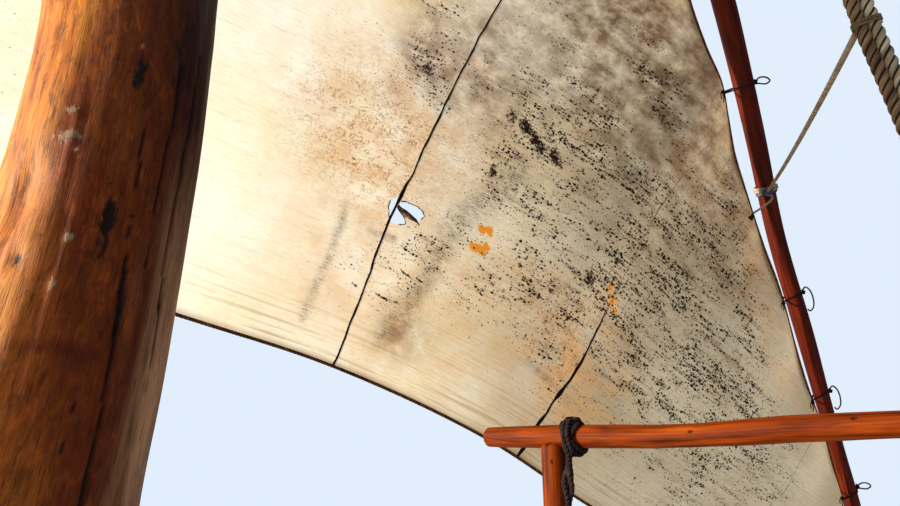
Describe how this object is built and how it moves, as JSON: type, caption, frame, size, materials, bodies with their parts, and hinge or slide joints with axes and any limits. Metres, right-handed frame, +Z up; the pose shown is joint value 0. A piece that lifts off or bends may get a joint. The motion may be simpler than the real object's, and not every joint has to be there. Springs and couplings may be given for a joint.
{
  "type": "lateen sailing rig",
  "caption": "Lateen rig of a wooden dhow: crooked raked mast, slanting lapped yard, torn mildewed canvas sail, halyards, guy, and a lashed rail on posts.",
  "frame": {"origin": "on the underside of the keelson, under the foot of the mast", "axes": "+X towards the bow, +Y to port, +Z up"},
  "size_m": [8.3273, 3.1599, 11.9911],
  "materials": {
    "mast_wood": "weathered, oiled, cracked",
    "spar_wood": "dark, worn satin",
    "varnished_wood": "satin varnish",
    "weathered_timber": "matte, weathered",
    "dark_hardwood": "greased satin",
    "rusty_iron": "rusty",
    "canvas": "matte, mildewed",
    "bolt_rope": "matte",
    "manila_rope": "matte",
    "white_cord": "matte",
    "tarred_rope": "matte, tarred"
  },
  "bodies": {
    "mast_and_base": {"keelson": "weathered_timber", "mast_step": "weathered_timber", "fore_beam": "weathered_timber", "mast": "mast_wood", "masthead_pin": "rusty_iron", "mast_chock_1": "weathered_timber", "mast_chock_2": "weathered_timber", "mast_chock_3": "weathered_timber", "mast_chock_4": "weathered_timber", "rail": "varnished_wood", "post_inner": "varnished_wood", "rail_lashing_inner": "tarred_rope", "post_outer": "varnished_wood", "rail_lashing_outer": "tarred_rope", "halyard_fore": "manila_rope", "halyard_aft": "manila_rope", "guy_seizing": "white_cord"},
    "fore_sheave": {"sheave_fore": "dark_hardwood"},
    "aft_sheave": {"sheave_aft": "dark_hardwood"},
    "yard_and_sail": {"yard_lower": "spar_wood", "yard_upper": "spar_wood", "yard_woolding_1": "tarred_rope", "yard_woolding_2": "tarred_rope", "yard_woolding_3": "tarred_rope", "yard_woolding_4": "tarred_rope", "halyard_sling": "manila_rope", "parrel": "dark_hardwood", "sail_cloth_1": "canvas", "sail_cloth_2": "canvas", "sail_cloth_3": "canvas", "sail_cloth_4": "canvas", "sail_cloth_5": "canvas", "sail_cloth_6": "canvas", "sail_cloth_7": "canvas", "sail_cloth_8": "canvas", "luff_rope": "bolt_rope", "foot_rope": "bolt_rope", "leech_rope": "bolt_rope", "guy_hitch": "white_cord", "tack_lashing": "tarred_rope", "peak_lashing": "tarred_rope", "clew_cringle": "rusty_iron", "yard_guy": "white_cord", "halyard_tie_fore": "manila_rope", "halyard_tie_aft": "manila_rope"}
  },
  "joints": [
    {"name": "yard_swing", "type": "hinge", "parent": "mast_and_base", "child": "yard_and_sail", "pos_m": [0.621, 0, 7.1], "axis": [0.0872, 0, 0.9962], "range_deg": [-12, 8], "deforming": ["yard_guy", "halyard_tie_fore", "halyard_tie_aft"]},
    {"name": "sheave_fore_spin", "type": "hinge", "parent": "mast_and_base", "child": "fore_sheave", "pos_m": [0.699, 0, 7.64], "axis": [1, 0, 0], "continuous": true},
    {"name": "sheave_aft_spin", "type": "hinge", "parent": "mast_and_base", "child": "aft_sheave", "pos_m": [0.639, 0, 7.64], "axis": [1, 0, 0], "continuous": true}
  ]
}
